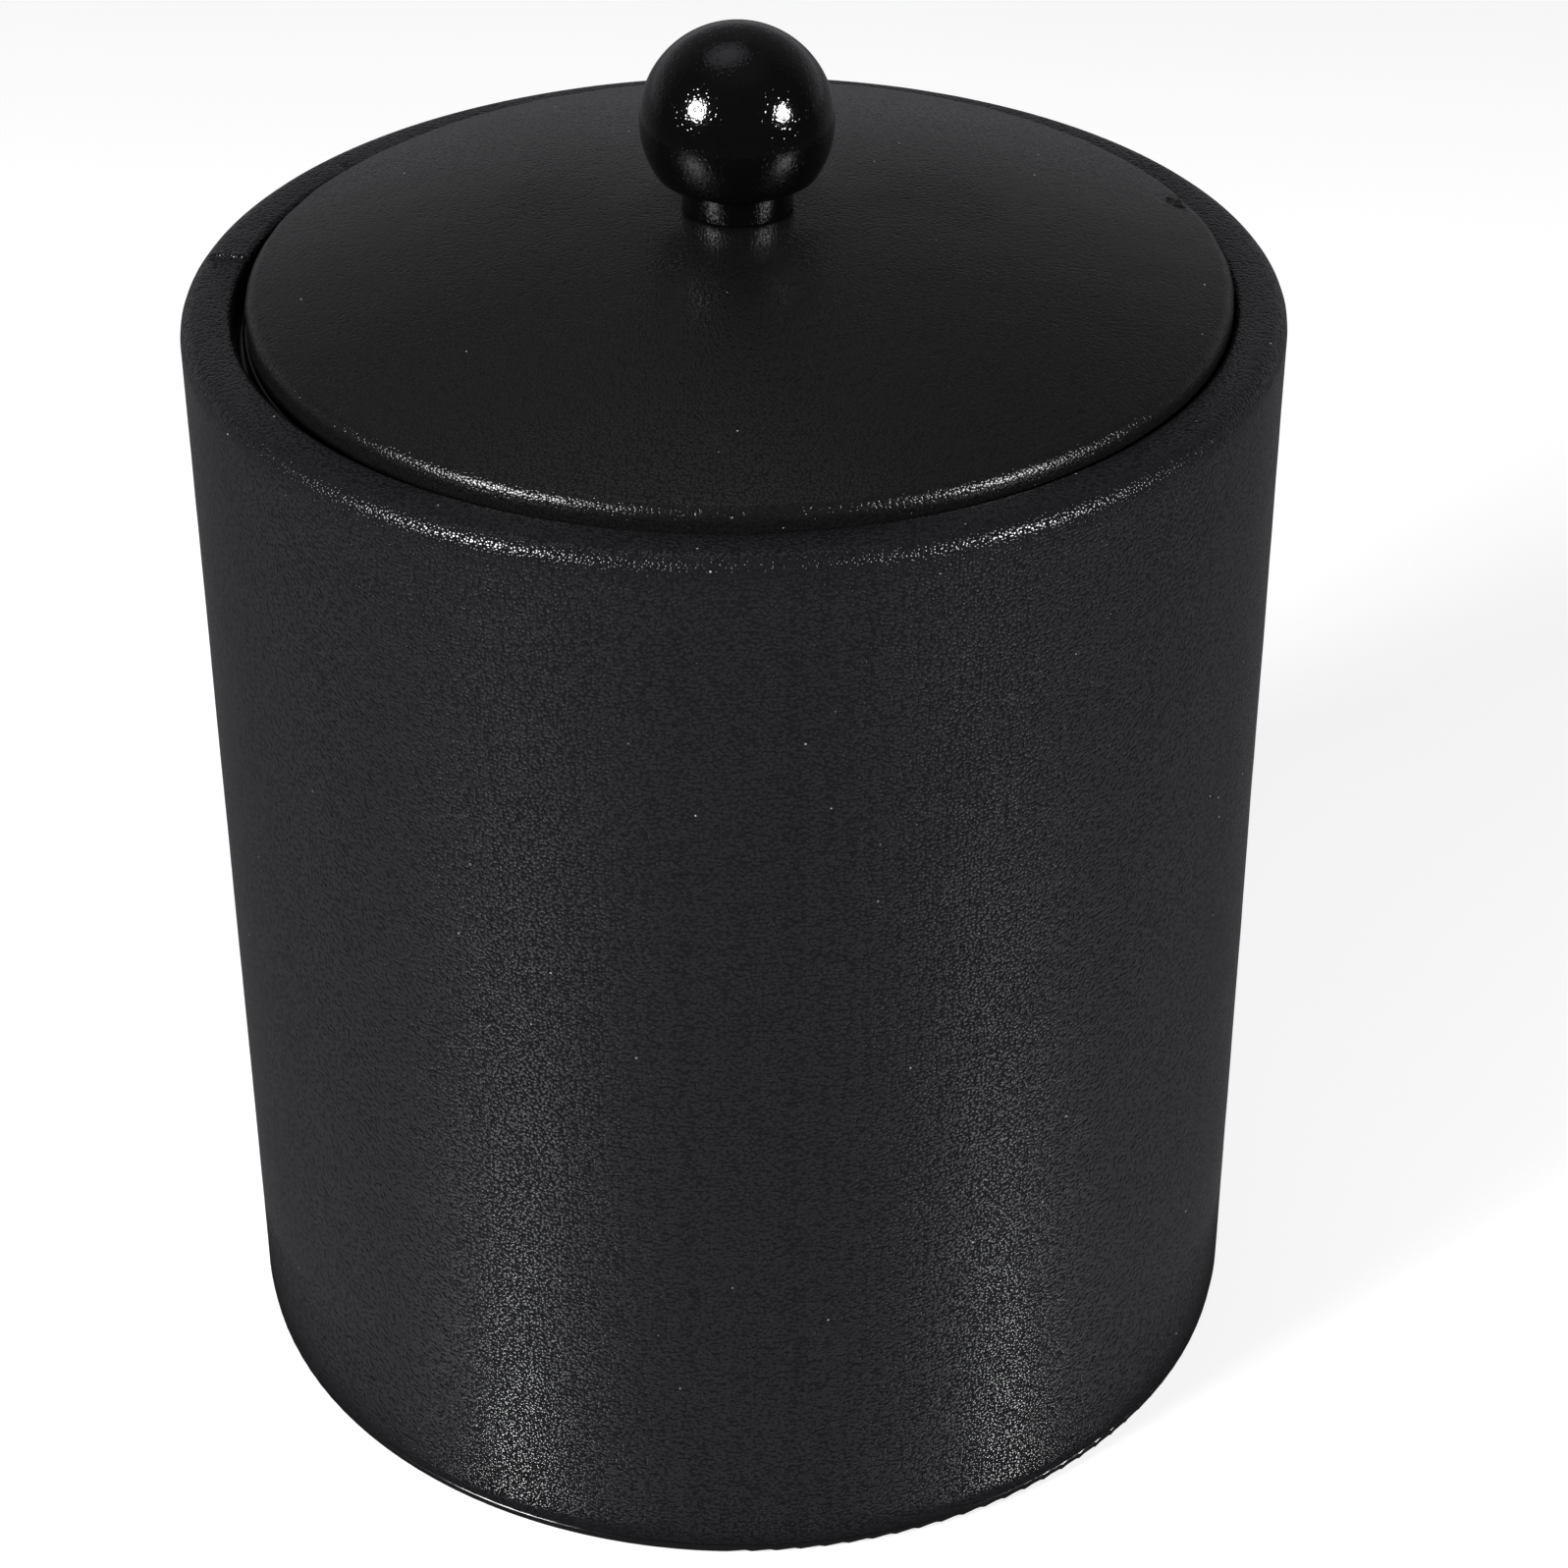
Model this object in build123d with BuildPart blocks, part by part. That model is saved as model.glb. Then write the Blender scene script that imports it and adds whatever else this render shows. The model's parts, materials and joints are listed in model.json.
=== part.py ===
from build123d import *
from math import radians, sin
import os

# Insulated ice bucket: a straight round bucket wrapped in leatherette, with a padded lid that lifts off.
# Units are millimetres and +Z is up. The origin is on the table, under the centre of the bucket.
# Most pieces are turned: a half section of (radius, height) points in the XZ plane, revolved about Z.

os.makedirs("parts", exist_ok=True)

# ---- driving dimensions ----

bucket_radius = 85.0
rim_height = 186.0
skin = 0.8  # thickness of the leatherette
mouth_radius = 76.9  # inside of the leatherette that lines the mouth
rim_outer_rounding = 3.0
rim_inner_rounding = 1.2

base_cap_radius = 84.8
base_cap_bottom = 0.6  # the pads stand this much proud of the base cap
cover_bottom = 2.2  # lower edge of the leatherette, and the top of the base cap beside it
hem_bore = 72.0  # the leatherette is turned under the bucket as far in as this
spigot_radius = 71.5  # raised middle of the base cap, inside the hem
base_recess_radius = 54.0
base_recess_depth = 1.0
base_cap_rounding = 0.8  # at the table
base_cap_shoulder_rounding = 0.6  # under the leatherette
base_recess_rounding = 0.4
edge_break = 0.3  # on small moulded and pressed edges

shell_wall = 2.5
bottom_board_thickness = 5.0
floor_foam_thickness = 13.0
rim_ring_depth = 13.2

pad_count = 4
pad_ring_radius = 66.0
pad_radius = 6.0
pad_thickness = 1.4
first_pad_angle = 45
base_screw_head_radius = 3.2
base_screw_shank_radius = 1.6
base_screw_end = 7.4
base_drive_length = 3.4  # cross recess in the head
base_drive_width = 0.8
base_drive_depth = 1.2

liner_wall = 1.5
liner_mouth_bore = 71.3
liner_floor_bore = 69.0
liner_flange_radius = 76.6
liner_flange_top = 181.6  # the lid rests on this face
liner_corner = 8.0
liner_flange_under_rounding = 0.4
liner_flange_rounding = 0.7
liner_mouth_rounding = 0.8
liner_slack = 0.5  # room between the liner and what stands round it

lid_radius = 75.8
lid_corner_height = 188.3  # where the dome would meet the lid's straight edge
lid_edge_rounding = 2.5
crown_height = 199.8  # top of the dome
knob_seat_height = 199.6  # the knob presses the leatherette flat down to this
lid_board_thickness = 2.5
lid_hem_bore = 69.6
lid_hem_rounding = 0.8

pan_flange_radius = 75.6
pan_flange_thickness = 1.4
pan_wall = 1.6
plug_radius = 70.4
plug_bottom = 171.0
plug_corner = 3.0
pan_inner_corner = 1.4
pan_recess_rounding = 1.0
pan_recess_corner = 0.5
pan_inner_recess_rounding = 0.4
pan_flange_under_rounding = 0.5
pan_flange_rounding = 0.6
pan_recess_radius = 12.0
pan_recess_depth = 4.5
pan_boss_radius = 6.0
lid_foam_bore = 15.0
lid_foam_slack = 0.6

knob_radius = 14.8
knob_centre = 213.5
knob_neck_radius = 8.5
knob_neck_top = 203.6
knob_cut_angle = -33.0  # below this the ball is turned away to a shallow cone round the neck
knob_cut_rounding = 1.0
knob_hole_depth = 12.0
knob_foot_rounding = 0.4
insert_radius = 3.4
insert_length = 10.0
insert_setback = 0.5
knob_screw_radius = 2.4
knob_screw_length = 34.0
knob_screw_head_radius = 4.8
knob_screw_head_height = 3.2
knob_screw_head_rounding = 1.6
knob_drive_length = 4.6
knob_drive_width = 1.1
knob_drive_depth = 2.0
screw_hole_radius = 2.8
washer_radius = 9.0
washer_thickness = 1.0

# ---- heights and radii that follow from them ----

shell_radius = bucket_radius - skin
shell_bore = shell_radius - shell_wall
shell_bottom = cover_bottom + skin
shell_top = rim_height - skin
board_top = shell_bottom + bottom_board_thickness
liner_bottom = board_top + floor_foam_thickness
ledge_height = liner_flange_top - liner_wall
ring_bottom = shell_top - rim_ring_depth
ring_bore = mouth_radius + skin
ledge_bore = liner_mouth_bore + liner_wall + liner_slack
liner_floor_radius = liner_floor_bore + liner_wall
liner_mouth_radius = liner_mouth_bore + liner_wall
foam_bottom_bore = liner_floor_radius + liner_slack

hem_bottom = liner_flange_top + pan_flange_thickness
lid_board_bottom = hem_bottom + skin
lid_board_top = lid_board_bottom + lid_board_thickness
lid_board_radius = lid_radius - skin
pan_recess_ceiling = plug_bottom + pan_recess_depth
pad_pocket_ceiling = pad_thickness
base_screw_head_height = shell_bottom - pad_pocket_ceiling

# the dome is part of a ball
dome_rise = crown_height - lid_corner_height
dome_radius = (lid_radius**2 + dome_rise**2) / (2 * dome_rise)
core_crown_height = crown_height - skin
core_dome_radius = dome_radius - skin
core_dome_centre = core_crown_height - core_dome_radius
core_corner_height = core_dome_centre + (core_dome_radius**2 - lid_board_radius**2) ** 0.5
screw_seat = pan_recess_ceiling - washer_thickness
knob_hole_top = knob_seat_height + knob_hole_depth
knob_cut_height = knob_centre + knob_radius * sin(radians(knob_cut_angle))

# ---- bucket: frame ----

with BuildPart() as outer_shell:
    with BuildSketch(Plane.XY.offset(shell_bottom)):
        Circle(shell_radius)
        Circle(shell_bore, mode=Mode.SUBTRACT)
    extrude(amount=shell_top - shell_bottom)
    top_outer_edge = outer_shell.edges().group_by(Axis.Z)[-1].sort_by(SortBy.RADIUS)[-1]
    fillet(top_outer_edge, rim_outer_rounding - skin)

with BuildPart() as rim_ring:
    with BuildSketch(Plane.XZ):
        with BuildLine():
            FilletPolyline(
                (ledge_bore, ring_bottom),
                (shell_bore, ring_bottom),
                (shell_bore, shell_top),
                (ring_bore, shell_top),
                (ring_bore, ledge_height),
                (ledge_bore, ledge_height),
                radius=[0, 0, 0, rim_inner_rounding - skin, 0, 0],
                close=True,
            )
        make_face()
    revolve(axis=Axis.Z)

with BuildPart() as bottom_board:
    with BuildSketch(Plane.XY.offset(shell_bottom)):
        Circle(shell_bore)
    extrude(amount=bottom_board_thickness)
    with BuildSketch(Plane.XY.offset(shell_bottom)):
        with PolarLocations(pad_ring_radius, pad_count, start_angle=first_pad_angle):
            Circle(base_screw_shank_radius)
    extrude(amount=base_screw_end - shell_bottom, mode=Mode.SUBTRACT)

# ---- bucket: insulation and liner ----

with BuildPart() as floor_insulation:
    with BuildSketch(Plane.XY.offset(board_top)):
        Circle(shell_bore)
    extrude(amount=floor_foam_thickness)

with BuildPart() as wall_insulation:
    with BuildSketch(Plane.XZ):
        with BuildLine():
            Polyline(
                (foam_bottom_bore, liner_bottom),
                (shell_bore, liner_bottom),
                (shell_bore, ring_bottom),
                (ledge_bore, ring_bottom),
                close=True,
            )
        make_face()
    revolve(axis=Axis.Z)

# one-piece bowl with a slight draft, hung by its flange on the rim ring's ledge
with BuildPart() as liner:
    with BuildSketch(Plane.XZ):
        with BuildLine():
            FilletPolyline(
                (0, liner_bottom),
                (liner_floor_radius, liner_bottom),
                (liner_mouth_radius, ledge_height),
                (liner_flange_radius, ledge_height),
                (liner_flange_radius, liner_flange_top),
                (liner_mouth_bore, liner_flange_top),
                (liner_floor_bore, liner_bottom + liner_wall),
                (0, liner_bottom + liner_wall),
                radius=[
                    0,
                    liner_corner + liner_wall,
                    edge_break,
                    liner_flange_under_rounding,
                    liner_flange_rounding,
                    liner_mouth_rounding,
                    liner_corner,
                    0,
                ],
                close=True,
            )
        make_face()
    revolve(axis=Axis.Z)

# ---- bucket: cover and base ----

# one skin: turned under the bottom, up the side, over the rim and down inside the mouth to the ledge
with BuildPart() as leather_cover:
    with BuildSketch(Plane.XZ):
        with BuildLine():
            FilletPolyline(
                (hem_bore, cover_bottom),
                (bucket_radius, cover_bottom),
                (bucket_radius, rim_height),
                (mouth_radius, rim_height),
                (mouth_radius, ledge_height),
                (ring_bore, ledge_height),
                (ring_bore, shell_top),
                (shell_radius, shell_top),
                (shell_radius, shell_bottom),
                (hem_bore, shell_bottom),
                radius=[
                    0,
                    skin,
                    rim_outer_rounding,
                    rim_inner_rounding,
                    0,
                    0,
                    rim_inner_rounding - skin,
                    rim_outer_rounding - skin,
                    0,
                    0,
                ],
                close=True,
            )
        make_face()
    revolve(axis=Axis.Z)

# plate with a raised middle inside the hem, a shallow recess below, and a pocket for each pad
with BuildPart() as base_cap:
    with BuildSketch(Plane.XZ):
        with BuildLine():
            FilletPolyline(
                (0, base_cap_bottom + base_recess_depth),
                (base_recess_radius, base_cap_bottom + base_recess_depth),
                (base_recess_radius, base_cap_bottom),
                (base_cap_radius, base_cap_bottom),
                (base_cap_radius, cover_bottom),
                (spigot_radius, cover_bottom),
                (spigot_radius, shell_bottom),
                (0, shell_bottom),
                radius=[
                    0,
                    edge_break,
                    base_recess_rounding,
                    base_cap_rounding,
                    base_cap_shoulder_rounding,
                    0,
                    0,
                    0,
                ],
                close=True,
            )
        make_face()
    revolve(axis=Axis.Z)
    with BuildSketch(Plane.XY.offset(base_cap_bottom)):
        with PolarLocations(pad_ring_radius, pad_count, start_angle=first_pad_angle):
            Circle(pad_radius)
    extrude(amount=pad_pocket_ceiling - base_cap_bottom, mode=Mode.SUBTRACT)
    with BuildSketch(Plane.XY.offset(pad_pocket_ceiling)):
        with PolarLocations(pad_ring_radius, pad_count, start_angle=first_pad_angle):
            Circle(base_screw_head_radius)
    extrude(amount=base_screw_head_height, mode=Mode.SUBTRACT)

# flat-headed screws, their heads sunk in the base cap and covered by the pads
with BuildPart() as base_screws:
    with BuildSketch(Plane.XY.offset(pad_pocket_ceiling)):
        with PolarLocations(pad_ring_radius, pad_count, start_angle=first_pad_angle):
            Circle(base_screw_head_radius)
    extrude(amount=base_screw_head_height)
    with BuildSketch(Plane.XY.offset(shell_bottom)):
        with PolarLocations(pad_ring_radius, pad_count, start_angle=first_pad_angle):
            Circle(base_screw_shank_radius)
    extrude(amount=base_screw_end - shell_bottom)
    with BuildSketch(Plane.XY.offset(pad_pocket_ceiling)):
        with PolarLocations(pad_ring_radius, pad_count, start_angle=first_pad_angle):
            Rectangle(base_drive_length, base_drive_width)
            Rectangle(base_drive_width, base_drive_length)
    extrude(amount=base_drive_depth, mode=Mode.SUBTRACT)

with BuildPart() as foot_pads:
    with BuildSketch():
        with PolarLocations(pad_ring_radius, pad_count, start_angle=first_pad_angle):
            Circle(pad_radius)
    extrude(amount=pad_thickness)
    fillet(foot_pads.edges().group_by(Axis.Z)[0], edge_break)

# ---- lid: core and cover ----

with BuildPart() as lid_board:
    with BuildSketch(Plane.XY.offset(lid_board_bottom)):
        Circle(lid_board_radius)
        Circle(screw_hole_radius, mode=Mode.SUBTRACT)
    extrude(amount=lid_board_thickness)

# everything inside the lid's skin: the board and the padding in one, which shapes both pieces below
with BuildPart() as lid_core:
    with BuildSketch(Plane.XZ):
        with BuildLine():
            dome = RadiusArc((0, core_crown_height), (lid_board_radius, core_corner_height), core_dome_radius)
            Polyline(dome @ 1, (lid_board_radius, lid_board_bottom), (0, lid_board_bottom), dome @ 0)
        make_face()
    revolve(axis=Axis.Z)
    core_rims = lid_core.edges().group_by(SortBy.LENGTH)[-1].sort_by(Axis.Z)
    fillet(core_rims[-1], lid_edge_rounding - skin)

with BuildPart() as lid_padding:
    add(lid_core.part)
    split(bisect_by=Plane.XY.offset(lid_board_top), keep=Keep.TOP)
    with BuildSketch(Plane.XY.offset(lid_board_top)):
        Circle(screw_hole_radius)
    extrude(amount=core_crown_height - lid_board_top, mode=Mode.SUBTRACT)

with BuildPart() as lid_leather:
    with BuildSketch(Plane.XZ):
        with BuildLine():
            dome = RadiusArc((0, crown_height), (lid_radius, lid_corner_height), dome_radius)
            Polyline(dome @ 1, (lid_radius, hem_bottom), (0, hem_bottom), dome @ 0)
        make_face()
    revolve(axis=Axis.Z)
    lid_rims = lid_leather.edges().group_by(SortBy.LENGTH)[-1].sort_by(Axis.Z)
    fillet(lid_rims[-1], lid_edge_rounding)
    hem_rim = lid_leather.edges().group_by(Axis.Z)[0].sort_by(SortBy.RADIUS)[-1]
    fillet(hem_rim, lid_hem_rounding)
    add(lid_core.part, mode=Mode.SUBTRACT)
    with BuildSketch(Plane.XY.offset(hem_bottom)):
        Circle(lid_hem_bore)
    extrude(amount=skin, mode=Mode.SUBTRACT)
    with BuildSketch(Plane.XY.offset(lid_board_top)):
        Circle(screw_hole_radius)
    extrude(amount=crown_height - lid_board_top, mode=Mode.SUBTRACT)
    with BuildSketch(Plane.XY.offset(knob_seat_height)):
        Circle(knob_neck_radius)
    extrude(amount=crown_height - knob_seat_height, mode=Mode.SUBTRACT)

# ---- lid: moulded underside ----

with BuildPart() as lid_pan:
    with BuildSketch(Plane.XZ):
        with BuildLine():
            FilletPolyline(
                (screw_hole_radius, pan_recess_ceiling),
                (pan_recess_radius, pan_recess_ceiling),
                (pan_recess_radius, plug_bottom),
                (plug_radius, plug_bottom),
                (plug_radius, liner_flange_top),
                (pan_flange_radius, liner_flange_top),
                (pan_flange_radius, hem_bottom),
                (plug_radius - pan_wall, hem_bottom),
                (plug_radius - pan_wall, plug_bottom + pan_wall),
                (pan_recess_radius + pan_wall, plug_bottom + pan_wall),
                (pan_recess_radius + pan_wall, pan_recess_ceiling + pan_wall),
                (pan_boss_radius, pan_recess_ceiling + pan_wall),
                (pan_boss_radius, lid_board_bottom),
                (screw_hole_radius, lid_board_bottom),
                radius=[
                    0,
                    pan_recess_corner,
                    pan_recess_rounding,
                    plug_corner,
                    0,
                    pan_flange_under_rounding,
                    pan_flange_rounding,
                    0,
                    pan_inner_corner,
                    pan_inner_recess_rounding,
                    pan_recess_corner,
                    0,
                    0,
                    0,
                ],
                close=True,
            )
        make_face()
    revolve(axis=Axis.Z)

with BuildPart() as lid_insulation:
    with BuildSketch(Plane.XY.offset(plug_bottom + pan_wall)):
        Circle(plug_radius - pan_wall - lid_foam_slack)
        Circle(lid_foam_bore, mode=Mode.SUBTRACT)
    extrude(amount=lid_board_bottom - plug_bottom - pan_wall)
    fillet(lid_insulation.edges().group_by(Axis.Z)[0].sort_by(SortBy.RADIUS)[-1], pan_inner_corner)

# ---- lid: knob and its fixing ----

# ball and neck turned in one piece, with a blind hole for the insert
with BuildPart() as knob:
    with BuildSketch(Plane.XZ):
        with BuildLine():
            ball = CenterArc((0, knob_centre), knob_radius, knob_cut_angle, 90 - knob_cut_angle)
            Polyline(
                ball @ 1,
                (0, knob_hole_top),
                (insert_radius, knob_hole_top),
                (insert_radius, knob_seat_height),
                (knob_neck_radius, knob_seat_height),
                (knob_neck_radius, knob_neck_top),
                ball @ 0,
            )
        make_face()
    revolve(axis=Axis.Z)
    knob_circles = knob.edges().filter_by(GeomType.CIRCLE)
    fillet(knob_circles.sort_by(lambda edge: abs(edge.center().Z - knob_cut_height))[0], knob_cut_rounding)
    fillet(knob.edges().group_by(Axis.Z)[0].sort_by(SortBy.RADIUS)[-1], knob_foot_rounding)

with BuildPart() as knob_insert:
    with BuildSketch(Plane.XY.offset(knob_seat_height + insert_setback)):
        Circle(insert_radius)
        Circle(knob_screw_radius, mode=Mode.SUBTRACT)
    extrude(amount=insert_length)

with BuildPart() as knob_washer:
    with BuildSketch(Plane.XY.offset(screw_seat)):
        Circle(washer_radius)
        Circle(screw_hole_radius, mode=Mode.SUBTRACT)
    extrude(amount=washer_thickness)
    fillet(knob_washer.edges().group_by(Axis.Z)[0].sort_by(SortBy.RADIUS)[-1], edge_break)

with BuildPart() as knob_screw:
    with BuildSketch(Plane.XY.offset(screw_seat)):
        Circle(knob_screw_head_radius)
    extrude(amount=-knob_screw_head_height)
    fillet(knob_screw.edges().group_by(Axis.Z)[0], knob_screw_head_rounding)
    with BuildSketch(Plane.XY.offset(screw_seat)):
        Circle(knob_screw_radius)
    extrude(amount=knob_screw_length)
    with BuildSketch(Plane.XY.offset(screw_seat - knob_screw_head_height)):
        Rectangle(knob_drive_length, knob_drive_width)
        Rectangle(knob_drive_width, knob_drive_length)
    extrude(amount=knob_drive_depth, mode=Mode.SUBTRACT)

# ---- export, one file per piece ----

pieces = {
    "outer_shell": outer_shell,
    "rim_ring": rim_ring,
    "bottom_board": bottom_board,
    "floor_insulation": floor_insulation,
    "wall_insulation": wall_insulation,
    "liner": liner,
    "leather_cover": leather_cover,
    "base_cap": base_cap,
    "base_screws": base_screws,
    "foot_pads": foot_pads,
    "lid_board": lid_board,
    "lid_padding": lid_padding,
    "lid_leather": lid_leather,
    "lid_pan": lid_pan,
    "lid_insulation": lid_insulation,
    "knob": knob,
    "knob_insert": knob_insert,
    "knob_washer": knob_washer,
    "knob_screw": knob_screw,
}
for name, piece in pieces.items():
    piece.part.label = name
    export_step(piece.part, f"parts/{name}.step")
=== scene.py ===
import json
from math import asin, cos, exp, pi, radians, sin, sqrt, tan

import bpy
from mathutils import Matrix, Vector, noise


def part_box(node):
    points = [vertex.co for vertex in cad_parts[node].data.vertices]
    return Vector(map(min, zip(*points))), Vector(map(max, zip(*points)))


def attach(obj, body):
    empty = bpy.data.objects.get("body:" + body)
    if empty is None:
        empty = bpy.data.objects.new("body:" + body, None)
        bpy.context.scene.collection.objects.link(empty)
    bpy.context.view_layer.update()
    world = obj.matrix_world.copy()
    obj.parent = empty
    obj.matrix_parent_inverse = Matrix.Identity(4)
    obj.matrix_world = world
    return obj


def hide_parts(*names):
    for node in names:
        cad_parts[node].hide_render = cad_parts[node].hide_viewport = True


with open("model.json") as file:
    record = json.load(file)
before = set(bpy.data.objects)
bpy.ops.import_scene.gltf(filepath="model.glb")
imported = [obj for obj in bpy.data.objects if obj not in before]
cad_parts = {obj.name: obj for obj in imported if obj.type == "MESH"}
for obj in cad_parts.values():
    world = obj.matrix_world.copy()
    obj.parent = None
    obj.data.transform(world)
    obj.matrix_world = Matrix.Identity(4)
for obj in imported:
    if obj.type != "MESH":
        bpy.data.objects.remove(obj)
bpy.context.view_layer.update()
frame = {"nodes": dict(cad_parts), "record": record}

# An insulated ice bucket in black leatherette with a padded, domed lid and a lacquered ball knob.
# Metres, +Z up, the front towards -Y. The round pieces are outlines of (radius, height) turned about Z.

MM = 0.001

# ---- measures, from the frame where it holds them ----

FLANGE_CLEARANCE = 0.3 * MM  # between the liner's flange and the leatherette in the mouth
LEDGE_DEPTH = 5.1 * MM  # of the ledge the liner hangs on, below the top of the rim ring
HEM_WIDTH = 13 * MM  # of leatherette turned under the bucket
DOME_EDGE_RISE = 2.35 * MM  # from the rim to where dome and side of the lid would meet in a sharp corner

COVER_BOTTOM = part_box("leather_cover")[0].z
RIM_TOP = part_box("leather_cover")[1].z
BUCKET_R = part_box("leather_cover")[1].x
SKIN = BUCKET_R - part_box("outer_shell")[1].x
MOUTH_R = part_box("liner")[1].x + FLANGE_CLEARANCE
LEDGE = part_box("rim_ring")[1].z - LEDGE_DEPTH
HEM_BORE = BUCKET_R - HEM_WIDTH

LID_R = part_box("lid_leather")[1].x
LID_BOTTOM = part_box("lid_leather")[0].z
LID_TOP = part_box("lid_padding")[1].z + SKIN
LID_CORNER = RIM_TOP + DOME_EDGE_RISE
KNOB_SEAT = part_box("knob")[0].z
KNOB_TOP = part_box("knob")[1].z
KNOB_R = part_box("knob")[1].x
NECK_R = 8.5 * MM

# the padded top sits a little to the right on its moulded base, so the gap round it is wider on the left
LID_SHIFT = Vector((0.9 * MM, 0, 0))
KNOB_SHIFT = Vector((0.8 * MM, 0, 0))

# ---- camera ----

BODY_MIDDLE = Vector((0, 0, RIM_TOP / 2))
CAMERA_DISTANCE = 7.5 * BUCKET_R
CAMERA_ELEVATION = radians(33.22)
CAMERA_ROLL = radians(-0.55)
CAMERA_LENS = 87.34
CAMERA_SHIFT = (0.0292, 0.0043)


def make_camera():
    data = bpy.data.cameras.new("camera")
    data.sensor_width = 36
    data.lens = CAMERA_LENS
    data.shift_x, data.shift_y = CAMERA_SHIFT
    camera = bpy.data.objects.new("camera", data)
    bpy.context.scene.collection.objects.link(camera)
    back = Vector((0, -cos(CAMERA_ELEVATION), sin(CAMERA_ELEVATION)))
    turn = back.to_track_quat("Z", "Y").to_matrix() @ Matrix.Rotation(CAMERA_ROLL, 3, "Z")
    camera.matrix_world = Matrix.Translation(BODY_MIDDLE + back * CAMERA_DISTANCE) @ turn.to_4x4()
    bpy.context.scene.camera = camera


# ---- node trees ----


def add_node(tree, kind, inputs=None, **settings):
    """A new node. inputs sets its sockets by name or number: a socket is linked, a value is set."""
    made = tree.nodes.new(kind)
    for name, value in settings.items():
        setattr(made, name, value)
    for name, value in (inputs or {}).items():
        if isinstance(value, bpy.types.NodeSocket):
            tree.links.new(value, made.inputs[name])
        else:
            made.inputs[name].default_value = value
    return made


def new_material(name, shader=None):
    """A material with a Principled shader set so, its tree, and the object coordinates, in metres."""
    material = bpy.data.materials.new(name)
    material.use_nodes = True
    tree = material.node_tree
    principled = tree.nodes["Principled BSDF"]
    for socket, value in (shader or {}).items():
        principled.inputs[socket].default_value = value
    place = add_node(tree, "ShaderNodeTexCoord").outputs["Object"]
    return material, tree, principled, place


def computed(tree, operation, first, second):
    return add_node(tree, "ShaderNodeMath", {0: first, 1: second}, operation=operation).outputs[0]


def scaled_noise(tree, place, size, detail=2.0, rough=0.5):
    """Noise from 0 to 1 whose features are about this size in metres."""
    found = add_node(
        tree,
        "ShaderNodeTexNoise",
        {"Vector": place, "Scale": 1 / size, "Detail": detail, "Roughness": rough},
    )
    return found.outputs["Fac"]


def ranged(tree, value, low, high, from_low=0.0, from_high=1.0):
    """The value's stretch between from_low and from_high, spread from low to high and held at both ends."""
    found = add_node(
        tree,
        "ShaderNodeMapRange",
        {"Value": value, "From Min": from_low, "From Max": from_high, "To Min": low, "To Max": high},
    )
    return found.outputs["Result"]


def mixed_colour(tree, factor, first, second):
    found = add_node(tree, "ShaderNodeMix", {0: factor, 6: first, 7: second}, data_type="RGBA")
    return found.outputs[2]


def bump(tree, principled, height, depth):
    """Connects a height field of 0 to 1 as relief of this depth in metres."""
    found = add_node(tree, "ShaderNodeBump", {"Height": height, "Distance": depth})
    tree.links.new(found.outputs["Normal"], principled.inputs["Normal"])


def cell_distance(tree, place, size, randomness=1.0):
    """Distance from the nearest of many scattered points this far apart, as a share of that size."""
    cells = {"Vector": place, "Scale": 1 / size, "Randomness": randomness}
    return add_node(tree, "ShaderNodeTexVoronoi", cells).outputs["Distance"]


# ---- materials ----

LINT = (0.35, 0.35, 0.34, 1)
LINT_SPACING = 6 * MM
NIB_SPACING = 0.9 * MM
LEATHER_GLOSS = 0.3
PEBBLE_SCATTER = 0.85
FINE_SHARE, SOFT_SHARE = 0.03, 0.6  # of the pebbles' height
SOFT_SIZE = 7 * MM
PATCH_SIZE = 24 * MM
WEAR_SIZE = 6 * MM


def leatherette(name, dark, light, pebble, depth, rough_low, rough_high, contrast):
    """Embossed leatherette: glossy round pebbles of this size, duller valleys, and a soft unevenness. Its
    colour holds painted shade in the valleys and a painted highlight on the pebble tops.
    """
    material, tree, principled, place = new_material(name)
    cells = cell_distance(tree, place, pebble, PEBBLE_SCATTER)
    pebbles = computed(tree, "SUBTRACT", 1.0, computed(tree, "POWER", cells, 3.0))
    fine = scaled_noise(tree, place, 0.5 * pebble)
    soft = scaled_noise(tree, place, SOFT_SIZE)
    height = computed(tree, "ADD", pebbles, computed(tree, "MULTIPLY", fine, FINE_SHARE))
    height = computed(tree, "ADD", height, computed(tree, "MULTIPLY", soft, SOFT_SHARE))
    bump(tree, principled, height, depth)
    valley_shade = ranged(tree, cells, 0.0, 1.0, 0.25, 0.65)
    shine = ranged(tree, valley_shade, LEATHER_GLOSS * (1 + contrast), LEATHER_GLOSS * (1 - contrast))
    tree.links.new(shine, principled.inputs["Specular IOR Level"])
    # painted shade and highlight: the colour darkens into the grain's valleys and lightens on the pebble
    # tops
    shaded_grain = mixed_colour(tree, valley_shade, light, dark)
    specks = ranged(tree, cell_distance(tree, place, LINT_SPACING), 1.0, 0.0, 0.018, 0.03)
    tree.links.new(mixed_colour(tree, specks, shaded_grain, LINT), principled.inputs["Base Color"])
    patchy = scaled_noise(tree, place, PATCH_SIZE, 3.0)
    tree.links.new(ranged(tree, patchy, rough_low, rough_high, 0.3, 0.7), principled.inputs["Roughness"])
    return material


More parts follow.
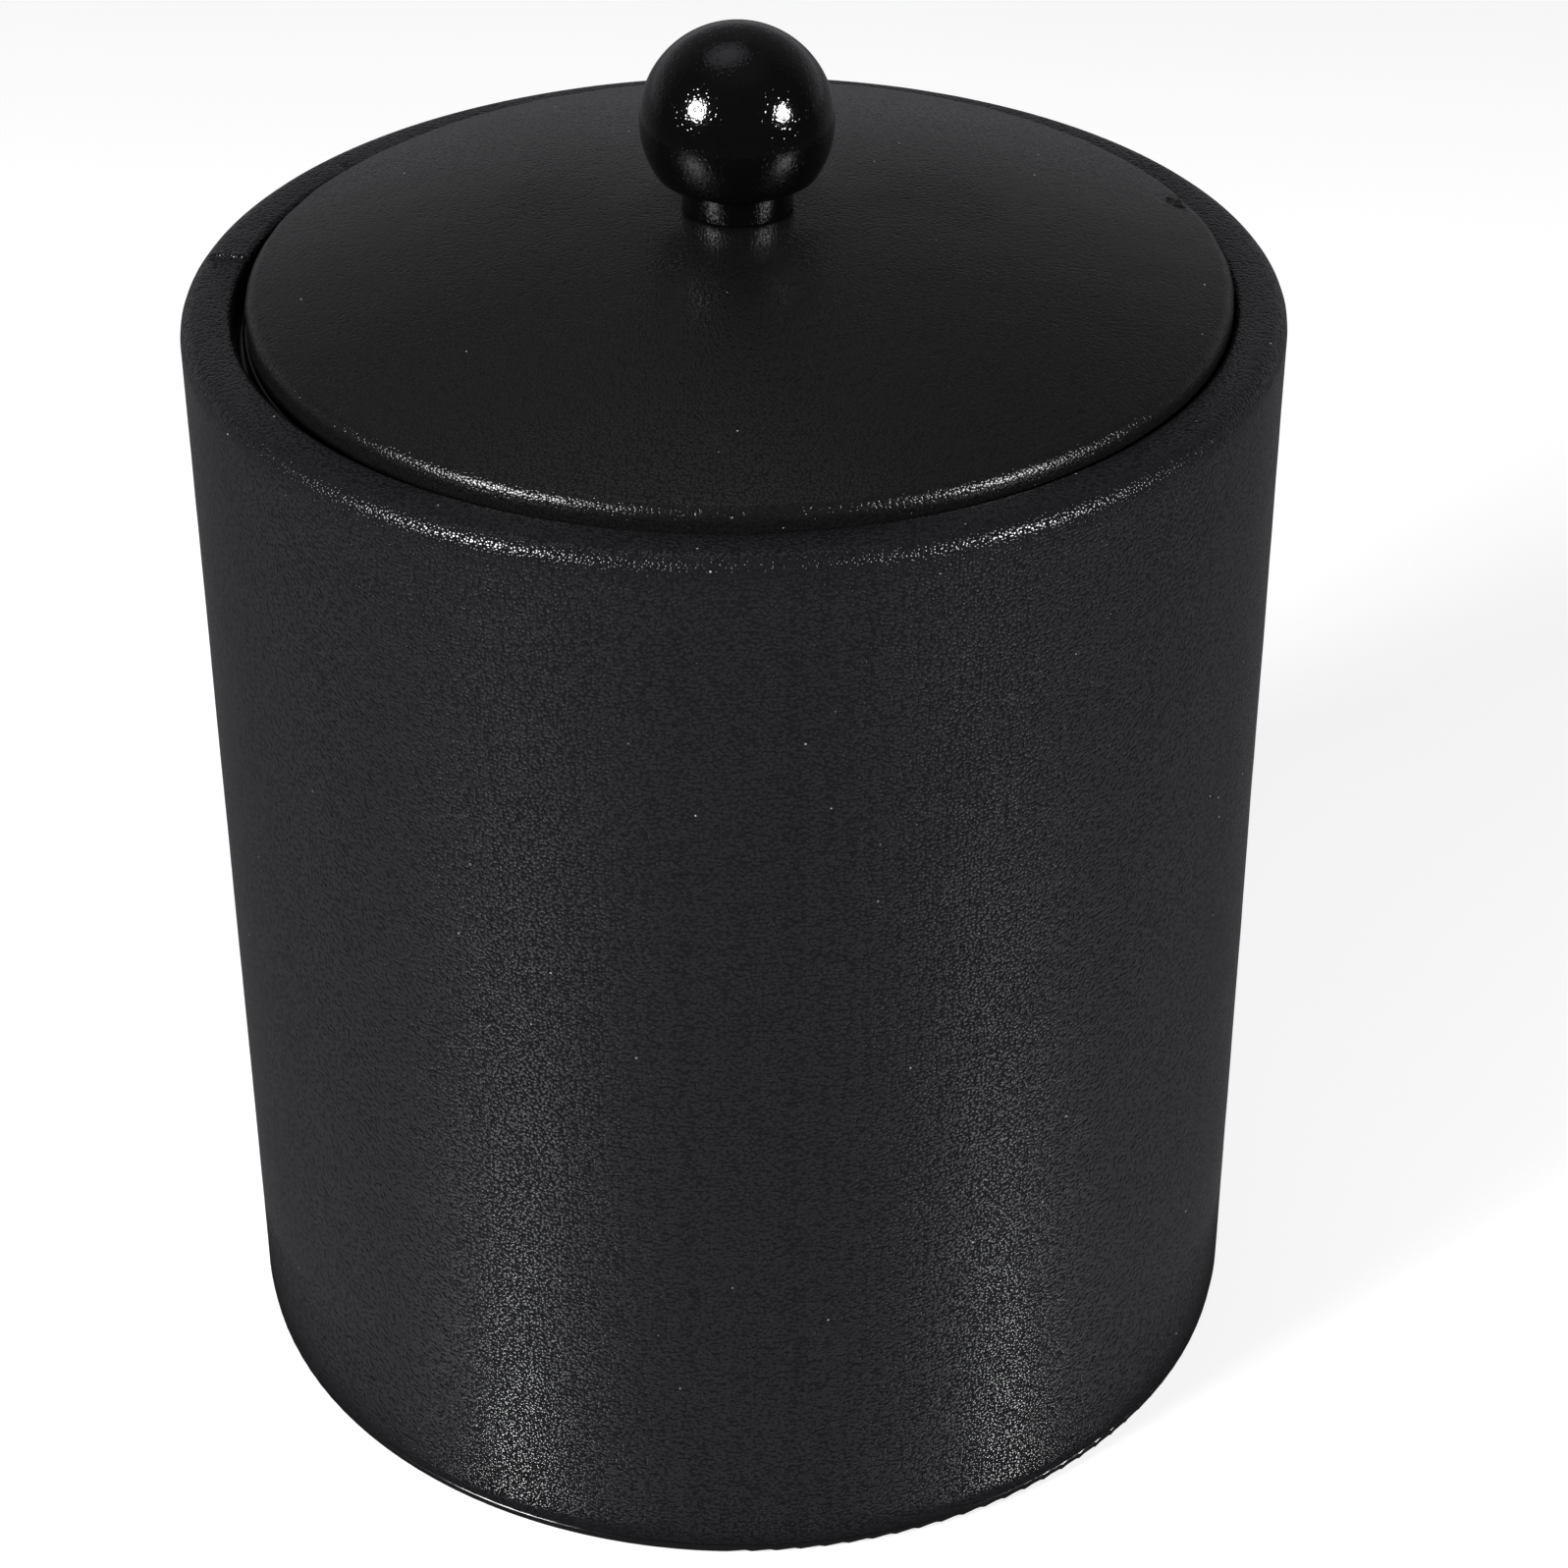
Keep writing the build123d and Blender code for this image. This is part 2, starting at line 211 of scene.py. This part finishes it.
def glossy_black(name, colour, rough_low, rough_high, peel_size, peel_depth, nibs):
    """Glossy black lacquer or moulded plastic with a slight ripple, and dust nibs nibs times as high."""
    material, tree, principled, place = new_material(name, {"Base Color": colour})
    ripple = scaled_noise(tree, place, peel_size, 1.0)
    dust = cell_distance(tree, place, NIB_SPACING)
    domes = ranged(tree, computed(tree, "POWER", computed(tree, "MULTIPLY", dust, 3.0), 2.0), nibs, 0.0)
    bump(tree, principled, computed(tree, "ADD", ripple, domes), peel_depth)
    worn = scaled_noise(tree, place, WEAR_SIZE, 4.0)
    tree.links.new(ranged(tree, worn, rough_low, rough_high, 0.3, 0.7), principled.inputs["Roughness"])
    return material


def speckled(name, dark, light, grain, depth, roughness, metal=0.0):
    """A plain matt or metal surface with a fine grain, for pieces that are mostly out of sight."""
    material, tree, principled, place = new_material(name, {"Metallic": metal})
    field = scaled_noise(tree, place, grain, 4.0, 0.6)
    grains = ranged(tree, field, 0, 1, 0.35, 0.65)
    tree.links.new(mixed_colour(tree, grains, dark, light), principled.inputs["Base Color"])
    tree.links.new(ranged(tree, field, roughness - 0.08, roughness + 0.08), principled.inputs["Roughness"])
    bump(tree, principled, field, depth)
    return material


# ---- floor and light ----

WHITE = (1, 1, 1, 1)
STAGE_R = 9.0
DISC_SIDES = 64
FLOOR_GLOW = 0.6
BACKDROP_GLOW = 0.66  # about the far floor's brightness
DOME_SIDES, DOME_ROWS = 48, 16
DOME_SINK = 0.01  # the backdrop starts this much below the floor
FLOOR_MARGIN = 0.02
SHADE_MARGIN = 4.5 * MM
SHADE_DEPTH = 0.5 * MM
CLOUD_SIZE = 0.3


def stage_disc(name, radius, material, matrix=Matrix.Identity(4)):
    mesh = bpy.data.meshes.new(name)
    turns = [2 * pi * i / DISC_SIDES for i in range(DISC_SIDES)]
    rim = [(radius * cos(turn), radius * sin(turn), 0) for turn in turns]
    mesh.from_pydata(rim, [], [list(range(DISC_SIDES))])
    mesh.materials.append(material)
    disc = bpy.data.objects.new(name, mesh)
    bpy.context.scene.collection.objects.link(disc)
    disc.matrix_world = matrix
    return disc


def make_floor():
    """The floor. It is left out of reflections, and does not hide the lamps below it."""
    material, tree, principled, place = new_material(
        "floor_paint", {"Emission Color": WHITE, "Emission Strength": FLOOR_GLOW}
    )
    cloud = scaled_noise(tree, place, CLOUD_SIZE)
    tree.links.new(
        mixed_colour(tree, cloud, (0.54, 0.54, 0.54, 1), (0.58, 0.58, 0.58, 1)),
        principled.inputs["Base Color"],
    )
    tree.links.new(ranged(tree, cloud, 0.5, 0.6), principled.inputs["Roughness"])
    floor = stage_disc("floor", STAGE_R + FLOOR_MARGIN, material)
    floor.visible_glossy = False
    floor.visible_shadow = False


def make_contact_shade():
    """A dark disc just under the floor for reflections alone: the floor in the bucket's own shadow."""
    material, tree, principled, place = new_material(
        "contact_shade", {"Roughness": 1.0, "Specular IOR Level": 0.0}
    )
    cloud = scaled_noise(tree, place, CLOUD_SIZE)
    tree.links.new(
        mixed_colour(tree, cloud, (0.01, 0.01, 0.01, 1), (0.02, 0.02, 0.02, 1)),
        principled.inputs["Base Color"],
    )
    below = Matrix.Translation((0, 0, -SHADE_DEPTH))
    shade = stage_disc("contact_shade", BUCKET_R + SHADE_MARGIN, material, below)
    shade.visible_camera = False
    shade.visible_diffuse = False


def facing(azimuth, elevation, distance):
    """Where a light that faces the bucket stands. Azimuth 0 is the front, and it grows to the right."""
    a, e = radians(azimuth), radians(elevation)
    away = Vector((sin(a) * cos(e), -cos(a) * cos(e), sin(e)))
    place = Matrix.Translation(BODY_MIDDLE + away * distance)
    return place @ away.to_track_quat("Z", "Y").to_matrix().to_4x4()


def softbox(name, azimuth, elevation, width, power):
    """A round lamp. One below the floor is a lamp mirrored in a glossy table, and shows in gloss alone."""
    data = bpy.data.lights.new(name, "AREA")
    data.shape = "DISK"
    data.size = width
    data.energy = power
    light = bpy.data.objects.new(name, data)
    bpy.context.scene.collection.objects.link(light)
    light.matrix_world = facing(azimuth, elevation, LAMP_DISTANCE)
    light.visible_diffuse = elevation > 0


def make_backdrop():
    """A pale dome for the camera alone, so that the studio's darker parts only show in reflections."""
    material = bpy.data.materials.new("backdrop_paint")
    material.use_nodes = True
    tree = material.node_tree
    tree.nodes.clear()
    glow = add_node(tree, "ShaderNodeEmission", {"Color": WHITE, "Strength": BACKDROP_GLOW})
    output = add_node(tree, "ShaderNodeOutputMaterial")
    tree.links.new(glow.outputs[0], output.inputs["Surface"])
    material.cycles.emission_sampling = "NONE"
    lifts = [pi / 2 * row / DOME_ROWS for row in range(DOME_ROWS + 1)]
    turns = [2 * pi * k / DOME_SIDES for k in range(DOME_SIDES)]
    rows = [(STAGE_R * cos(lift), STAGE_R * sin(lift) - DOME_SINK) for lift in lifts]
    vertices = [(out * cos(turn), out * sin(turn), up) for out, up in rows for turn in turns]
    faces = []
    for row in range(DOME_ROWS):
        low, high = row * DOME_SIDES, (row + 1) * DOME_SIDES
        for k in range(DOME_SIDES):
            following = (k + 1) % DOME_SIDES
            faces.append((low + k, low + following, high + following, high + k))
    mesh = bpy.data.meshes.new("backdrop")
    mesh.from_pydata(vertices, [], faces)
    mesh.materials.append(material)
    dome = bpy.data.objects.new("backdrop", mesh)
    bpy.context.scene.collection.objects.link(dome)
    dome.visible_diffuse = False
    dome.visible_glossy = False
    dome.visible_shadow = False


def level_ramp(tree, value, stops):
    """Slightly cold grey levels at (value, level) stops, for a value from -1 to 1."""
    ramp = add_node(tree, "ShaderNodeValToRGB", {"Fac": ranged(tree, value, 0, 1, -1, 1)})
    elements = ramp.color_ramp.elements
    while len(elements) < len(stops):
        elements.new(0.5)
    for element, (position, level) in zip(elements, stops):
        element.position = (position + 1) / 2
        element.color = (level, 0.99 * level, 1.05 * level, 1)
    return ramp.outputs["Color"]


# brightness of the surroundings by the height of the direction looked in, in front and behind
FRONT_LEVELS = ((-1, 0.27), (-0.5, 0.27), (-0.35, 0.04), (0, 0.025), (0.8, 0.04), (1, 0.1))
BACK_LEVELS = (
    (-1, 0.1),
    (-0.5, 0.1),
    (-0.1, 0.14),
    (0, 0.3),
    (0.07, 0.29),
    (0.32, 0.15),
    (0.55, 0.11),
    (1, 0.1),
)
LAMP_DISTANCE = 1.2
OVERHEAD = Vector((sin(radians(-9)), 0.24, 0.95)).normalized()  # a little behind the bucket and to its left
OVERHEAD_GLOW = (0.6, 0.6, 0.66, 1)
OVERHEAD_CORE, OVERHEAD_EDGE = radians(4), radians(22)


def make_light():
    softbox("left_softbox", -54, 29.5, 0.42, 21)
    softbox("right_softbox", 58.5, 24, 0.34, 14)
    softbox("left_bounce", -54, -46, 0.14, 1.35)
    softbox("right_bounce", 64, -46, 0.14, 1.05)
    world = bpy.data.worlds.new("studio")
    world.use_nodes = True
    tree = world.node_tree
    direction = add_node(tree, "ShaderNodeTexCoord").outputs["Generated"]
    axes = add_node(tree, "ShaderNodeSeparateXYZ", {0: direction})
    front = level_ramp(tree, axes.outputs["Z"], FRONT_LEVELS)
    back = level_ramp(tree, axes.outputs["Z"], BACK_LEVELS)
    share = ranged(tree, axes.outputs["Y"], 0, 1, 0.15, 0.65)
    surroundings = mixed_colour(tree, share, front, back)
    toward = add_node(tree, "ShaderNodeVectorMath", {0: direction, 1: OVERHEAD}, operation="DOT_PRODUCT")
    glow = ranged(tree, toward.outputs["Value"], 0, 1, cos(OVERHEAD_EDGE), cos(OVERHEAD_CORE))
    lit = mixed_colour(tree, glow, surroundings, OVERHEAD_GLOW)
    tree.links.new(lit, tree.nodes["Background"].inputs["Color"])
    bpy.context.scene.world = world
    bpy.context.scene.view_settings.view_transform = "Standard"


# ---- outlines and turning ----


def rounded(corners, steps=6):
    """A closed outline from (radius, height, rounding) corners."""
    points = []
    for index, (radius, height, rounding) in enumerate(corners):
        here = Vector((radius, height))
        if not rounding:
            points.append(here)
            continue
        before = (Vector(corners[index - 1][:2]) - here).normalized()
        after = (Vector(corners[(index + 1) % len(corners)][:2]) - here).normalized()
        half = before.angle(after) / 2
        centre = here + (before + after).normalized() * rounding / sin(half)
        start = (here + before * rounding / tan(half) - centre).normalized()
        end = (here + after * rounding / tan(half) - centre).normalized()
        points += [centre + start.slerp(end, step / steps) * rounding for step in range(steps + 1)]
    return points


def divided(outline, longest):
    """The same closed outline, with points added so that no run is longer than this."""
    points = []
    for index, here in enumerate(outline):
        there = outline[(index + 1) % len(outline)]
        count = max(1, round((there - here).length / longest + 0.49))
        points += [here.lerp(there, step / count) for step in range(count)]
    return points


def on_dome(radius, angle):
    """The outline point at this angle from the axis on a sphere about the dome's centre."""
    return Vector((radius * sin(angle), DOME_CENTRE + radius * cos(angle)))


def stepped(first, last, count):
    """Even steps on from first, which is left out, to last."""
    return [first + (last - first) * step / count for step in range(1, count + 1)]


def round_angles(count, *fine):
    """Even angles all round, with closer ones in each (middle, half width, step) stretch, in degrees."""
    angles = {round(360 * index / count, 4) for index in range(count)}
    for middle, half, step in fine:
        angles = {a for a in angles if abs((a - middle + 180) % 360 - 180) > half}
        angles |= {round((middle - half + step * i) % 360, 4) for i in range(round(2 * half / step) + 1)}
    return [radians(a) for a in sorted(angles)]


def turned(name, outline, angles, shape=None):
    """A closed outline turned about Z. shape(radius, height, angle) moves each point along its normal."""
    count = len(outline)
    normals = []
    for index in range(count):
        along = outline[(index + 1) % count] - outline[index - 1]
        normals.append(Vector((along.y, -along.x)).normalized())
    vertices, columns, poles = [], [], {}
    for angle in angles:
        column = []
        for index, (radius, height) in enumerate(outline):
            on_axis = radius < 1e-6
            if on_axis and index in poles:
                column.append(poles[index])
                continue
            move = shape(radius, height, angle) if shape else 0.0
            out = radius + normals[index].x * move
            up = height + normals[index].y * move
            if on_axis:
                out = 0.0
                poles[index] = len(vertices)
            column.append(len(vertices))
            vertices.append((out * cos(angle), out * sin(angle), up))
        columns.append(column)
    faces = []
    for index, column in enumerate(columns):
        following = columns[(index + 1) % len(columns)]
        for row in range(count):
            up = (row + 1) % count
            corners = [column[row], following[row], following[up], column[up]]
            kept = list(dict.fromkeys(corners))
            if len(kept) > 2:
                faces.append(kept)
    mesh = bpy.data.meshes.new(name)
    mesh.from_pydata(vertices, [], faces)
    mesh.validate()
    mesh.shade_smooth()
    mesh.set_sharp_from_angle(angle=radians(40))
    piece = bpy.data.objects.new(name, mesh)
    bpy.context.scene.collection.objects.link(piece)
    return piece


def bell(distance, width):
    """1 at no distance, falling smoothly to nothing some widths away."""
    return exp(-((distance / width) ** 2))


def waves(place, height, width):
    """Smooth unevenness up to this high, with features about this wide."""
    return height * noise.noise(place / width)


# ---- bucket cover ----

COVER_SIDES = 300
COVER_ROW = 3 * MM  # no row of its mesh is taller
RIM_ROUNDING = 3 * MM
MOUTH_ROUNDING = 1.2 * MM
SEAM_ANGLE = 171
SEAM_WANDER = 0.5 * MM
SEAM_DEPTH, SEAM_WIDTH = 0.5 * MM, 0.28 * MM
LIP_RISE, LIP_OFFSET, LIP_WIDTH = 0.2 * MM, 0.8 * MM, 0.5 * MM  # the raised edges beside the seam
NICK_ANGLE = 144
NICK_FROM_MOUTH = 1.4 * MM
NICK_DEPTH, NICK_WIDTH, NICK_REACH = 0.35 * MM, 0.7 * MM, 2 * MM


def arc_from(angle, middle, radius):
    """Signed distance along a circle of this radius from the angle called middle, which is in degrees."""
    return ((angle - radians(middle) + pi) % (2 * pi) - pi) * radius


def cover_relief(radius, height, angle):
    """The skin's slight unevenness, its butted seam up the side and over the rim, and a nick in the rim."""
    half = SKIN / 2
    if MOUTH_R + half < radius < BUCKET_R - half and COVER_BOTTOM + half < height < RIM_TOP - half:
        return 0.0  # the hidden side, against the shell
    place = Vector((radius * cos(angle), radius * sin(angle), height))
    move = waves(place, 0.06 * MM, 28 * MM) + waves(place, 0.03 * MM, 7 * MM)
    across = arc_from(angle, SEAM_ANGLE, radius) + waves(Vector((0, 0, height)), SEAM_WANDER, 30 * MM)
    move += LIP_RISE * bell(abs(across) - LIP_OFFSET, LIP_WIDTH) - SEAM_DEPTH * bell(across, SEAM_WIDTH)
    if height > RIM_TOP - NICK_REACH:
        aside = arc_from(angle, NICK_ANGLE, radius)
        from_nick = sqrt(aside**2 + (radius - MOUTH_R - NICK_FROM_MOUTH) ** 2)
        move -= NICK_DEPTH * bell(from_nick, NICK_WIDTH)
    return move


def make_cover(material):
    outline = rounded(
        [
            (HEM_BORE, COVER_BOTTOM, 0),
            (BUCKET_R, COVER_BOTTOM, SKIN),
            (BUCKET_R, RIM_TOP, RIM_ROUNDING),
            (MOUTH_R, RIM_TOP, MOUTH_ROUNDING),
            (MOUTH_R, LEDGE, 0),
            (MOUTH_R + SKIN, LEDGE, 0),
            (MOUTH_R + SKIN, RIM_TOP - SKIN, MOUTH_ROUNDING / 2),
            (BUCKET_R - SKIN, RIM_TOP - SKIN, RIM_ROUNDING - SKIN),
            (BUCKET_R - SKIN, COVER_BOTTOM + SKIN, 0),
            (HEM_BORE, COVER_BOTTOM + SKIN, 0),
        ]
    )
    angles = round_angles(COVER_SIDES, (SEAM_ANGLE, 1.8, 0.09), (NICK_ANGLE, 1.5, 0.25))
    piece = turned("cover_skin", divided(outline, COVER_ROW), angles, cover_relief)
    piece.data.materials.append(material)
    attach(piece, "bucket")
    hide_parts("leather_cover")


# ---- lid cover ----

LID_EDGE_ROUNDING = 2.5 * MM
LID_HOLE_R = 2.8 * MM
LID_HEM_BORE = 69.6 * MM
DOME_RISE = LID_TOP - LID_CORNER
DOME_R = (LID_R**2 + DOME_RISE**2) / (2 * DOME_RISE)
DOME_CENTRE = LID_TOP - DOME_R
LID_SIDES, HIDDEN_SIDES = 300, 120
DOME_FINE_R = 68 * MM  # the dome's mesh is finer outside this radius
SWELL_RISE, SWELL_R, SWELL_WIDTH = 0.22 * MM, 14 * MM, 4.5 * MM
SWELL_TO_NECK, SWELL_FALL = 6 * MM, 9 * MM
PUCKER_RISE, PUCKER_WIDTH, PUCKER_COUNT = 0.14 * MM, 2.5 * MM, 13
CRUMPLE_ANGLE = 17.5
CRUMPLE_R = 72.9 * MM
CRUMPLE_WIDTH, CRUMPLE_STRETCH = 1.9 * MM, 1.3
CRUMPLE_SINK = 0.3 * MM
FOLD_RISE = 0.8 * MM
FOAM_GAP, DOME_FOAM_GAP = 0.05 * MM, 0.4 * MM  # between the foam and the skin, at the side and on top


def lid_relief(radius, height, angle):
    """The padded dome's soft waves, puckers along its edge, the swell round the knob, and one crumple."""
    if height < RIM_TOP - MM or radius < NECK_R + 0.1 * MM:
        return 0.0
    if (radius**2 + (height - DOME_CENTRE) ** 2) ** 0.5 < DOME_R - 2 * LID_EDGE_ROUNDING:
        return 0.0
    place = Vector((radius * cos(angle), radius * sin(angle), height))
    move = waves(place, 0.10 * MM, 30 * MM) + waves(place, 0.03 * MM, 9 * MM)
    swell = SWELL_RISE * bell(radius - SWELL_R, SWELL_WIDTH)
    move += swell * bell(radius - NECK_R - SWELL_TO_NECK, SWELL_FALL)
    around = Vector((cos(angle), sin(angle), 0)) * PUCKER_COUNT
    move += PUCKER_RISE * noise.noise(around) * bell(radius - LID_R, PUCKER_WIDTH)
    aside = arc_from(angle, CRUMPLE_ANGLE, CRUMPLE_R) / CRUMPLE_STRETCH
    folds = waves(place, FOLD_RISE, 1.1 * MM) + waves(place, 0.6 * FOLD_RISE, 2.4 * MM)
    return move + (folds - CRUMPLE_SINK) * bell(sqrt(aside**2 + (radius - CRUMPLE_R) ** 2), CRUMPLE_WIDTH)


def lid_outline():
    """Half section of the lid's skin, from its hem out, up the edge, over the dome and back inside."""
    inner_r = LID_R - SKIN
    edge_r = LID_R - LID_EDGE_ROUNDING
    edge_z = DOME_CENTRE + sqrt((DOME_R - LID_EDGE_ROUNDING) ** 2 - edge_r**2)
    edge_angle = asin(edge_r / (DOME_R - LID_EDGE_ROUNDING))
    points = rounded([(LID_HEM_BORE, LID_BOTTOM, 0), (LID_R, LID_BOTTOM, SKIN), (LID_R, edge_z, 0)])
    for lift in stepped(0, pi / 2 - edge_angle, 10):
        away = Vector((cos(lift), sin(lift))) * LID_EDGE_ROUNDING
        points.append(Vector((edge_r, edge_z)) + away)
    fine_rows = stepped(edge_angle, asin(DOME_FINE_R / DOME_R), 18)
    wide_rows = stepped(fine_rows[-1], asin((NECK_R + 0.2 * MM) / DOME_R), 26)
    points += [on_dome(DOME_R, a) for a in fine_rows + wide_rows]
    points += [Vector((NECK_R, KNOB_SEAT)), Vector((LID_HOLE_R, KNOB_SEAT))]
    inner_dome = DOME_R - SKIN
    first = asin(LID_HOLE_R / inner_dome)
    last = asin(edge_r / inner_dome)
    points += [on_dome(inner_dome, a) for a in [first] + stepped(first, last, 14)]
    points += [Vector((inner_r, edge_z)), Vector((inner_r, LID_BOTTOM + SKIN))]
    points.append(Vector((LID_HEM_BORE, LID_BOTTOM + SKIN)))
    return points


def lid_piece(name, node, outline, angles, material, shape=None, shift=LID_SHIFT):
    """A turned piece of the lid in place of a node, with its middle moved by shift."""
    piece = turned(name, outline, angles, shape)
    for vertex in piece.data.vertices:
        vertex.co += shift
    piece.data.materials.append(material)
    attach(piece, "lid")
    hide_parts(node)
    return piece


def make_lid_top(skin_material, foam_material, board_material):
    """The skin, and the foam and board it is stretched over."""
    angles = round_angles(LID_SIDES, (CRUMPLE_ANGLE, 3.6, 0.24))
    outline = lid_outline()
    cover = lid_piece(
        "lid_cover_skin", "lid_leather", outline, angles, skin_material, lid_relief
    )
    board_bottom, board_top = (corner.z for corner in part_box("lid_board"))
    inside_r = LID_R - SKIN - FOAM_GAP
    angles = round_angles(HIDDEN_SIDES)
    dome = DOME_R - SKIN - DOME_FOAM_GAP
    low = asin(LID_HOLE_R / dome)
    high = asin((inside_r - MM) / dome)
    outline = [Vector((LID_HOLE_R, board_top)), Vector((inside_r - 0.2 * MM, board_top))]
    outline += [on_dome(dome, a) for a in [high] + stepped(high, low, 24)]
    foam = lid_piece("lid_padding_foam", "lid_padding", outline, angles, foam_material)
    outline = [Vector((LID_HOLE_R, board_bottom)), Vector((inside_r, board_bottom))]
    outline += [Vector((inside_r, board_top)), Vector((LID_HOLE_R, board_top))]
    lid_piece("lid_board_disc", "lid_board", outline, angles, board_material)


# ---- knob ----

NECK_HEIGHT = 4 * MM
BALL_CUT = radians(-33)  # where the ball is cut off above the neck
BALL_START = radians(-27)  # where the cut edge's rounding has ended
CUT_ROUNDING = 1.2 * MM
KNOB_SIDES, KNOB_ROWS = 128, 72


def make_knob(material):
    """A turned ball on a short neck, in one piece."""
    centre = KNOB_TOP - KNOB_R
    cut_r = KNOB_R * cos(BALL_CUT)
    cut_z = centre + KNOB_R * sin(BALL_CUT)
    outline = rounded(
        [
            (0, KNOB_SEAT, 0),
            (NECK_R, KNOB_SEAT, 0.4 * MM),
            (NECK_R, KNOB_SEAT + NECK_HEIGHT, 0.3 * MM),
            (cut_r, cut_z, CUT_ROUNDING),
            (KNOB_R * cos(BALL_START), centre + KNOB_R * sin(BALL_START), 0),
        ]
    )
    lifts = stepped(BALL_START, pi / 2, KNOB_ROWS)
    outline += [Vector((KNOB_R * cos(lift), centre + KNOB_R * sin(lift))) for lift in lifts]
    outline[-1].x = 0.0
    angles = round_angles(KNOB_SIDES)
    lid_piece("knob_ball", "knob", outline, angles, material, shift=KNOB_SHIFT)


# ---- assembly ----

make_camera()
make_floor()
make_contact_shade()
make_backdrop()
make_light()

# painted shade and highlight: in each leatherette pair the darker tone is the shaded valleys, the lighter
# the lit pebble tops
COVER_SHADED, COVER_LIT = (0.0056, 0.0056, 0.0063, 1), (0.0081, 0.0080, 0.0094, 1)
LID_SHADED, LID_LIT = (0.0042, 0.0042, 0.0043, 1), (0.0066, 0.0066, 0.0067, 1)
LACQUER, PLASTIC = (0.0015, 0.0015, 0.0016, 1), (0.006, 0.006, 0.0065, 1)
WOOD, PALE_WOOD = (0.22, 0.14, 0.08, 1), (0.34, 0.24, 0.15, 1)
SOOT, GREY = (0.03, 0.03, 0.03, 1), (0.05, 0.05, 0.05, 1)
FOAM, PALE_FOAM = (0.75, 0.75, 0.72, 1), (0.9, 0.9, 0.88, 1)
YELLOW_FOAM, PALE_YELLOW_FOAM = (0.6, 0.56, 0.42, 1), (0.72, 0.68, 0.52, 1)
RUBBER, WORN_RUBBER = (0.015, 0.015, 0.015, 1), (0.03, 0.03, 0.03, 1)
STEEL, BRIGHT_STEEL = (0.5, 0.5, 0.5, 1), (0.62, 0.62, 0.62, 1)
BRASS, BRIGHT_BRASS = (0.6, 0.42, 0.17, 1), (0.72, 0.52, 0.24, 1)

# leatherette: dark (painted valley shade), light (painted highlight on the pebble tops), pebble, depth,
# lowest and highest roughness, contrast
# glossy black: colour, lowest and highest roughness, ripple size and depth, nibs
# speckled: dark, light, grain, depth, roughness, metal
cover_leather = leatherette("cover_leatherette", COVER_SHADED, COVER_LIT, 0.56 * MM, 0.2 * MM, 0.10, 0.14, 0.65)
lid_leather = leatherette("lid_leatherette", LID_SHADED, LID_LIT, 0.5 * MM, 0.11 * MM, 0.19, 0.23, 0.2)
lacquer = glossy_black("knob_lacquer", LACQUER, 0.05, 0.09, 0.55 * MM, 0.035 * MM, 0.9)
plastic = glossy_black("gloss_black_plastic", PLASTIC, 0.12, 0.2, 2.5 * MM, 0.01 * MM, 0.3)

make_cover(cover_leather)
make_knob(lacquer)

fibreboard = speckled("fibreboard", WOOD, PALE_WOOD, 0.8 * MM, 0.05 * MM, 0.85)
rim_plastic = speckled("rim_plastic", SOOT, GREY, 0.6 * MM, 0.02 * MM, 0.6)
insulation = speckled("insulation_foam", FOAM, PALE_FOAM, 2.5 * MM, 0.3 * MM, 0.8)
padding = speckled("padding_foam", YELLOW_FOAM, PALE_YELLOW_FOAM, 0.7 * MM, 0.2 * MM, 0.9)
rubber = speckled("pad_rubber", RUBBER, WORN_RUBBER, 0.3 * MM, 0.02 * MM, 0.8)
steel = speckled("screw_steel", STEEL, BRIGHT_STEEL, 0.4 * MM, 0.01 * MM, 0.3, 1.0)
brass = speckled("insert_brass", BRASS, BRIGHT_BRASS, 0.4 * MM, 0.01 * MM, 0.3, 1.0)
finishes = {
    "fibreboard": fibreboard,
    "rim_plastic": rim_plastic,
    "insulation_foam": insulation,
    "padding_foam": padding,
    "pad_rubber": rubber,
    "screw_steel": steel,
    "insert_brass": brass,
    "gloss_black_plastic": plastic,
    "cover_leatherette": cover_leather,
    "lid_leatherette": lid_leather,
    "knob_lacquer": lacquer,
}
make_lid_top(lid_leather, padding, fibreboard)
for part in frame["record"]["subparts"]:
    mesh = frame["nodes"][part["node"]].data
    mesh.materials.clear()
    mesh.materials.append(finishes[part["material_slot"]])
